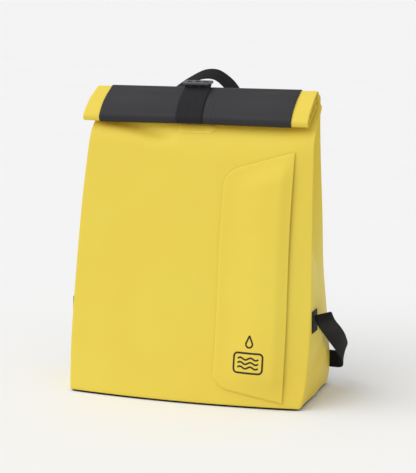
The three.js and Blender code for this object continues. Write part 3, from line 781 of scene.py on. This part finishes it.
def spacer_mesh(name, dark, lit):
    """Knitted spacer mesh: round holes 3 mm apart over a darker ground."""
    material = new_material(name)
    place = add_node(material, "ShaderNodeTexCoord")
    holes = add_node(
        material, "ShaderNodeTexVoronoi", settings={"feature": "F1"},
        values={"Scale": 330.0, "Randomness": 0.25}, links={"Vector": place.outputs["Object"]},
    )
    colour = add_node(
        material, "ShaderNodeMix", settings={"data_type": "RGBA"},
        values={6: linear(dark), 7: linear(lit)}, links={0: holes.outputs["Distance"]},
    )
    bump = add_node(
        material, "ShaderNodeBump", values={"Strength": 0.6, "Distance": 0.0006},
        links={"Height": holes.outputs["Distance"]},
    )
    add_node(
        material, "ShaderNodeBsdfPrincipled", values={"Roughness": 0.85, "Sheen Weight": 0.2},
        links={"Base Color": colour.outputs[2], "Normal": bump.outputs["Normal"]},
    )
    return material


black_spacer_mesh = spacer_mesh("black_knitted_spacer_mesh", "#0d0d0f", "#2b2b2e")
pad_low, pad_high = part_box("back_pad")


def pad_seam(point):
    """The pad's sewn lines: down the middle and twice across it, and round its edge."""
    across = [0.115, 0.225]
    near = min([abs(abs(point.x) - 0.022)] + [abs(point.z - z) for z in across])
    rim = min(point.x - pad_low.x, pad_high.x - point.x, point.z - pad_low.z, pad_high.z - point.z)
    return near < 0.004 or rim < 0.009


back_pad = loose_copy("back_pad", "back_pad_cushion")
swell(back_pad, 0.004, pad_seam, 0.0016, 0.0030)
dress(back_pad, black_spacer_mesh)
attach(back_pad, "bag")
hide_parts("back_pad")

yoke_low, yoke_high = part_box("yoke_patch")
YOKE_FLAT = (0.175, 0.062)


def yoke_point(u, v):
    z = lerp(yoke_low.z + 0.0004, yoke_high.z - 0.0004, v)
    half = YOKE_FLAT[0] / 2 - 0.010 * smooth(v, 0.8, 1.0)
    return Vector((lerp(half, -half, u), back_y(z) + 0.0016, z))


yoke = cut_cloth("yoke_cloth", 40, 16, YOKE_FLAT, yoke_point, 0.0011, offset=-1)
dress(yoke, black_packcloth)
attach(yoke, "bag")
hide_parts("yoke_patch")


# Shoulder straps -------------------------------------------------------------------------------------
# Curved straps of foam between packcloth and mesh, sewn into the yoke at the top. They taper towards
# the ladder locks, and swell a little between their bound edges.

for side in ("left", "right"):
    strap = loose_copy(f"shoulder_strap_{side}", f"shoulder_strap_cushion_{side}")
    swell(strap, 0.004, lambda point: False, 0.0012, 0.0022, pressure=2.5)
    dress(strap, black_packcloth)
    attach(strap, f"shoulder_{side}")
    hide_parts(f"shoulder_strap_{side}")


# Lock loops and ladder locks -------------------------------------------------------------------------
# A loop of 25 mm webbing, sewn into each strap's end, holds a moulded ladder lock by its top bar.

def curve_through(points, share):
    """A point on the centripetal Catmull-Rom curve through some points."""
    ends = [2 * points[0] - points[1]] + list(points) + [2 * points[-1] - points[-2]]
    at = min(max(share, 0), 1) * (len(points) - 1)
    i = min(int(at), len(points) - 2)
    p0, p1, p2, p3 = ends[i : i + 4]
    d0, d1, d2 = (max((b - a).length, 1e-7) ** 0.5 for a, b in ((p0, p1), (p1, p2), (p2, p3)))
    m1 = ((p1 - p0) / d0 - (p2 - p0) / (d0 + d1) + (p2 - p1) / d1) * d1
    m2 = ((p2 - p1) / d1 - (p3 - p1) / (d1 + d2) + (p3 - p2) / d2) * d1
    t = at - i
    return (
        p1 * (2 * t**3 - 3 * t**2 + 1)
        + m1 * (t**3 - 2 * t**2 + t)
        + p2 * (3 * t**2 - 2 * t**3)
        + m2 * (t**3 - t**2)
    )


WEBBING_WIDTH = 0.025


def webbing_band(name, points, sides, thickness):
    """A band of webbing along a line of points, with the direction across it given at each of them."""
    steps = [curve_through(points, i / 200) for i in range(201)]
    length = sum((a - b).length for a, b in zip(steps, steps[1:]))

    def place(u, v):
        step = 0.004
        tangent = curve_through(points, v + step) - curve_through(points, v - step)
        tangent.normalize()
        side = curve_through(sides, v)
        side = (side - tangent * side.dot(tangent)).normalized()
        return curve_through(points, v) + side * ((u - 0.5) * WEBBING_WIDTH)

    return cut_cloth(name, 6, 90, (WEBBING_WIDTH, length), place, thickness, offset=0, levels=1)


def twill_webbing(name, dark, lit, rib, strength=0.9):
    """Flat woven webbing: slanting ribs that turn at the middle, between two plain edges."""
    material = new_material(name)
    place = add_node(material, "ShaderNodeTexCoord")
    split = add_node(material, "ShaderNodeSeparateXYZ", links={"Vector": place.outputs["UV"]})
    # Ribs rib metres apart that climb one way, across bands 6 mm wide.
    fold = add_node(
        material, "ShaderNodeMath", settings={"operation": "PINGPONG"}, values={1: 0.006},
        links={0: split.outputs["X"]},
    )
    slant = add_node(
        material, "ShaderNodeMath", settings={"operation": "ADD"},
        links={0: split.outputs["Y"], 1: fold.outputs["Value"]},
    )
    turns = add_node(
        material, "ShaderNodeMath", settings={"operation": "MULTIPLY"}, values={1: 2 * math.pi / rib},
        links={0: slant.outputs["Value"]},
    )
    ribs = add_node(material, "ShaderNodeMath", settings={"operation": "SINE"}, links={0: turns.outputs["Value"]})
    fibres = add_node(
        material, "ShaderNodeTexNoise", values={"Scale": 700.0, "Detail": 3.0},
        links={"Vector": place.outputs["Object"]},
    )
    height = add_node(
        material, "ShaderNodeMath", settings={"operation": "ADD"},
        links={0: ribs.outputs["Value"], 1: fibres.outputs["Fac"]},
    )
    share = add_node(
        material, "ShaderNodeMapRange", values={"From Min": -0.8, "From Max": 1.8},
        links={"Value": height.outputs["Value"]},
    )
    colour = add_node(
        material, "ShaderNodeMix", settings={"data_type": "RGBA"},
        values={6: linear(dark), 7: linear(lit)}, links={0: share.outputs["Result"]},
    )
    bump = add_node(
        material, "ShaderNodeBump", values={"Strength": strength, "Distance": 0.0003},
        links={"Height": height.outputs["Value"]},
    )
    add_node(
        material, "ShaderNodeBsdfPrincipled",
        values={"Roughness": 0.7, "Specular IOR Level": 0.2, "Sheen Weight": 0.02},
        links={"Base Color": colour.outputs[2], "Normal": bump.outputs["Normal"]},
    )
    return material


black_webbing = twill_webbing("black_polyester_webbing", "#060607", "#151517", 0.0022)
LOCK_X, LOCK_Y, LOCK_Z = 0.092, 0.0859, 0.089  # middle of each ladder lock's top bar


def loop_point(side):
    line = [(LOCK_Y - 0.004, 0.1008)] + [
        (LOCK_Y + 0.004 * math.cos(a), LOCK_Z + 0.004 * math.sin(a))
        for a in [math.pi + math.pi * i / 14 for i in range(15)]
    ] + [(LOCK_Y + 0.004, 0.1008)]
    return lambda u, v: Vector((side * LOCK_X + (u - 0.5) * 0.0248, *along(line, v)))


for side, sign in (("left", -1), ("right", 1)):
    loop = cut_cloth(f"lock_loop_webbing_{side}", 8, 28, (0.025, 0.036), loop_point(sign), 0.0015, offset=0)
    dress(loop, black_webbing)
    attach(loop, f"shoulder_{side}")
    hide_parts(f"lock_loop_{side}")


def slotted_plate(name, size, corner, slots, slot_size, soften):
    """A moulded plate lying flat, its corners rounded and a row of slots cut through it."""
    deselect()
    bpy.ops.mesh.primitive_cube_add(size=1, location=(0, 0, 0), scale=size)
    plate = bpy.context.object
    plate.name = name
    plate.data.name = name
    bpy.ops.object.transform_apply(location=False, rotation=False, scale=True)
    bpy.ops.object.mode_set(mode="EDIT")
    bpy.ops.mesh.select_mode(type="EDGE")
    bpy.ops.mesh.select_all(action="DESELECT")
    bpy.ops.object.mode_set(mode="OBJECT")
    for edge in plate.data.edges:
        a, b = (plate.data.vertices[i].co for i in edge.vertices)
        edge.select = abs(a.z - b.z) > size[2] / 2
    bpy.ops.object.mode_set(mode="EDIT")
    bpy.ops.mesh.bevel(offset=corner, segments=6, affect="EDGES")
    bpy.ops.object.mode_set(mode="OBJECT")
    for x, y in slots:
        deselect()
        bpy.ops.mesh.primitive_cube_add(size=1, location=(x, y, 0), scale=(*slot_size, size[2] * 3))
        cutter = bpy.context.object
        bpy.ops.object.transform_apply(location=True, rotation=False, scale=True)
        modify(cutter, "BEVEL", width=min(slot_size) * 0.22, segments=3)
        modify(plate, "BOOLEAN", operation="DIFFERENCE", object=cutter, solver="EXACT")
        bpy.data.objects.remove(cutter)
    modify(plate, "BEVEL", width=soften, segments=3, limit_method="ANGLE", angle_limit=math.radians(40))
    deselect()
    plate.select_set(True)
    bpy.context.view_layer.objects.active = plate
    bpy.ops.object.shade_smooth_by_angle(angle=math.radians(35))
    return plate


def put(piece, matrix):
    """Moves a piece's mesh to its place, and leaves its object at the origin."""
    piece.data.transform(matrix)
    piece.data.update()


lock_slots = [(0, 0.018 - 0.004 - 0.00275 - i * 0.0095) for i in range(3)]
lock_shape = slotted_plate(
    "ladder_lock_moulding_left", (0.034, 0.036, 0.004), 0.004, lock_slots, (0.027, 0.0055), 0.0006
)
ladder_locks = {"left": lock_shape, "right": lock_shape.copy()}
ladder_locks["right"].data = lock_shape.data.copy()
ladder_locks["right"].name = "ladder_lock_moulding_right"
bpy.context.scene.collection.objects.link(ladder_locks["right"])
for side, sign in (("left", -1), ("right", 1)):
    place = Matrix.Translation((sign * LOCK_X, LOCK_Y, LOCK_Z + 0.002 - 0.018)) @ Matrix.Rotation(math.pi / 2, 4, "X")
    put(ladder_locks[side], place)
    dress(ladder_locks[side], black_acetal)
    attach(ladder_locks[side], f"lock_{side}")
    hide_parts(f"ladder_lock_{side}")


# Lower webbing ---------------------------------------------------------------------------------------
# 25 mm webbing sewn to a patch low on each side. It hangs out and back round the corner, standing on
# its edge where it turns, and comes up behind the pad to the ladder lock.

def side_wall(z):
    """Half width of the standing bag at the side webbing, before its folds."""
    return 0.165 - 0.007 * z / WALL_TOP + 0.008 * math.sin(math.pi * (z / WALL_TOP) ** 0.6)


PATCH_FLAT = (0.026, 0.030)
# Distance outside the wall, depth and height: the right one hangs away and the left one lies close.
SIDE_LINES = {
    "right": [
        (0.0125, -0.040, 0.1265), (0.0145, -0.031, 0.115), (0.015, 0.016, 0.088),
        (0.017, 0.050, 0.065), (0.015, 0.077, 0.044), (0.003, 0.094, 0.032),
    ],
    "left": [
        (-0.0025, -0.040, 0.116), (-0.001, -0.031, 0.111), (0.003, 0.022, 0.091),
        (0.007, 0.054, 0.069), (0.007, 0.077, 0.052), (-0.004, 0.093, 0.040),
    ],
}
SIDE_TWISTS = {
    "right": [(0.95, 0.31, 0), (0.9, 0.35, 0.15), (0.7, 0.25, 0.5), (0.4, 0.1, 0.9), (0.2, 0, 1), (0, 0, 1)],
    "left": [(0, 0.4, 0.9), (0, 0.45, 0.9), (0, 0.45, 0.9), (0, 0.4, 0.9), (0.1, 0.2, 1), (0, 0, 1)],
}
for side, sign in (("left", -1), ("right", 1)):
    wall = side_wall(0.126) + 0.0016
    points = [(wall + out, y, z) for out, y, z in SIDE_LINES[side]]
    points += [
        (lerp(wall, LOCK_X, 0.35), 0.102, 0.031), (lerp(wall, LOCK_X, 0.72), 0.099, 0.031),
        (0.096, 0.092, 0.040), (LOCK_X, LOCK_Y, 0.050),
    ]
    across = SIDE_TWISTS[side] + [(0, 0, 1), (0.35, 0, 1), (1, 0, 0.7), (1, 0, 0)]
    webbing = webbing_band(
        f"lower_webbing_band_{side}", [Vector((sign * x, y, z)) for x, y, z in points],
        [Vector((sign * x, y, z)) for x, y, z in across], 0.0015,
    )
    dress(webbing, black_webbing)
    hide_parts(f"lower_webbing_{side}")
    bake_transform(webbing)

    def patch_point(u, v, sign=sign):
        z = lerp(0.1000, 0.1300, v)
        y = -0.040 + sign * (u - 0.5) * PATCH_FLAT[0]
        share = (y - wall_y(z)) / (back_y(z) - wall_y(z))
        return side_point(sign, share, z) + Vector((sign * 0.0015, 0, 0))

    patch = cut_cloth(f"anchor_patch_cloth_{side}", 14, 14, PATCH_FLAT, patch_point, 0.0011, offset=-1)
    dress(patch, black_packcloth)
    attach(patch, "bag")
    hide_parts(f"anchor_patch_{side}")


# Closure strap and buckle ----------------------------------------------------------------------------
# 38 mm webbing sewn under the roll's hem. It runs up the face, slanting a little, over the crest and
# under a flat moulded hook buckle, which catches a short strap that comes up behind the back wall.

charcoal_webbing = twill_webbing("charcoal_polyester_webbing", "#17171a", "#26262a", 0.0020, 0.5)
STRAP_WIDTH = 0.038
STRAP_X = -0.0075
strap_line = list(reversed(arc(HEM, 0.00865, math.pi * 1.0, math.pi * 1.45, 12)))
strap_line += list(reversed(arc(CREST, 0.00965, math.pi - ROLL_TILT * 1.15, math.pi, 12)))


def strap_point(u, v):
    y, z = along(strap_line, v)
    middle = STRAP_X + 0.0012 - 0.0038 * v
    point = lie_on_bag(middle + (u - 0.5) * STRAP_WIDTH, y, z)
    # Its end is folded back on itself under the buckle.
    return point + Vector((0, 0, 0.0022 * smooth(v, 0.86, 1.0)))


strap_flat = (STRAP_WIDTH, line_length(strap_line))
strap = cut_cloth("closure_strap_webbing", 10, 60, strap_flat, strap_point, 0.0015, offset=0)
dress(strap, charcoal_webbing)
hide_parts("closure_strap", "strap_root")
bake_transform(strap)

rear_low, rear_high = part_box("rear_strap")


def rear_point(u, v):
    z = lerp(rear_low.z, rear_high.z, v)
    return Vector((-0.007 + lerp(0.0188, -0.0188, u), back_y(z) + 0.00275, z))


rear = cut_cloth("rear_strap_webbing", 8, 24, (STRAP_WIDTH, 0.055), rear_point, 0.0015, offset=0)
dress(rear, black_webbing)
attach(rear, "bag")
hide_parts("rear_strap")

grey_acetal = moulded_plastic("grey_moulded_acetal", "#46464b", "#68686d", 0.36)
windows = [(i * 0.0114, 0) for i in (-1, 0, 1)]
buckle = slotted_plate("closure_buckle_moulding", (0.040, 0.020, 0.003), 0.005, windows, (0.0078, 0.009), 0.0007)
# It lies on the strap with its front edge dipping over the crest.
BUCKLE_TILT = math.radians(6)
crest_top = on_roll(0.0085, 0.0, -0.010)
lift = Vector((0, -math.sin(BUCKLE_TILT), math.cos(BUCKLE_TILT))) * 0.0147
put(buckle, Matrix.Translation(crest_top + lift) @ Matrix.Rotation(BUCKLE_TILT, 4, "X"))
dress(buckle, grey_acetal)
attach(buckle, "strap")
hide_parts("closure_buckle")


# Grab handle -----------------------------------------------------------------------------------------
# 25 mm webbing sewn flat to the yoke at both feet. It twists as it leaves the yoke and arches up to
# a rounded top behind the buckle.

HANDLE_X = -0.010
ARCH_Y, ARCH_TOP = 0.05497, 0.4330
# Distance from the middle, depth, height, lean to the right, and the direction across the webbing.
half = [
    (0.045, back_y(0.389) + 0.00315, 0.389, 0, (1, 0, 0)),
    (0.045, back_y(0.398) + 0.00515, 0.397, 0, (1, 0.05, 0)),
    (0.041, lerp(back_y(0.402), ARCH_Y, 0.85), 0.410, 0.0007, (0.6, 0.7, 0)),
    (0.028, ARCH_Y, ARCH_TOP - 0.012, 0.0042, (0.25, 0.9, 0.4)),
    (0.009, ARCH_Y, ARCH_TOP - 0.0015, 0.0070, (0, 0.88, 0.5)),
]
handle_points = [Vector((HANDLE_X + lean - x, y, z)) for x, y, z, lean, _ in half]
handle_points += [Vector((HANDLE_X + lean + x, y, z)) for x, y, z, lean, _ in reversed(half)]
handle_sides = [Vector((-s[0], s[1], s[2])) for *_, s in half] + [Vector(s) for *_, s in reversed(half)]
handle = webbing_band("grab_handle_webbing", handle_points, handle_sides, 0.0016)
dress(handle, black_webbing)
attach(handle, "handle")
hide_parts("grab_handle")


# Studio ----------------------------------------------------------------------------------------------
# A plain pale floor in an even light from all round, with a soft key.

deselect()
bpy.ops.mesh.primitive_plane_add(size=60, location=(0, 0, 0))
floor = bpy.context.object
floor.name = "studio_floor"
matt_paper = new_material("matt_backdrop_paper")
place = add_node(matt_paper, "ShaderNodeTexCoord")
fibre = add_node(
    matt_paper, "ShaderNodeTexNoise", values={"Scale": 3.0, "Detail": 2.0},
    links={"Vector": place.outputs["Object"]},
)
tone = add_node(
    matt_paper, "ShaderNodeMix", settings={"data_type": "RGBA"},
    values={6: linear("#f0f0f0"), 7: linear("#ededed")}, links={0: fibre.outputs["Fac"]},
)
add_node(
    matt_paper, "ShaderNodeBsdfPrincipled", values={"Roughness": 0.9, "Specular IOR Level": 0.1},
    links={"Base Color": tone.outputs[2]},
)
dress(floor, matt_paper)

world = bpy.data.worlds.new("studio")
bpy.context.scene.world = world
world.use_nodes = True
world.node_tree.nodes["Background"].inputs["Color"].default_value = (1.0, 1.0, 1.0, 1.0)
world.node_tree.nodes["Background"].inputs["Strength"].default_value = 0.64

# One very wide soft source from the upper left in front, far enough away to light the floor evenly.
deselect()
bpy.ops.object.light_add(type="SUN", location=(-1.0, -0.8, 1.8))
key = bpy.context.object
key.name = "key"
key.data.energy = 1.65
key.data.angle = math.radians(70)
key.rotation_euler = Vector((-0.48, -0.36, 0.80)).to_track_quat("Z", "Y").to_euler()

forward = Vector((-0.3078, 0.9357, -0.1725))
deselect()
bpy.ops.object.camera_add(location=(0.68295, -2.03966, 0.59010))
camera = bpy.context.object
camera.rotation_euler = (-forward).to_track_quat("Z", "Y").to_euler()
camera.data.lens = 121.0
camera.data.sensor_width = 36.0
bpy.context.scene.camera = camera
bpy.context.scene.view_settings.view_transform = "Standard"
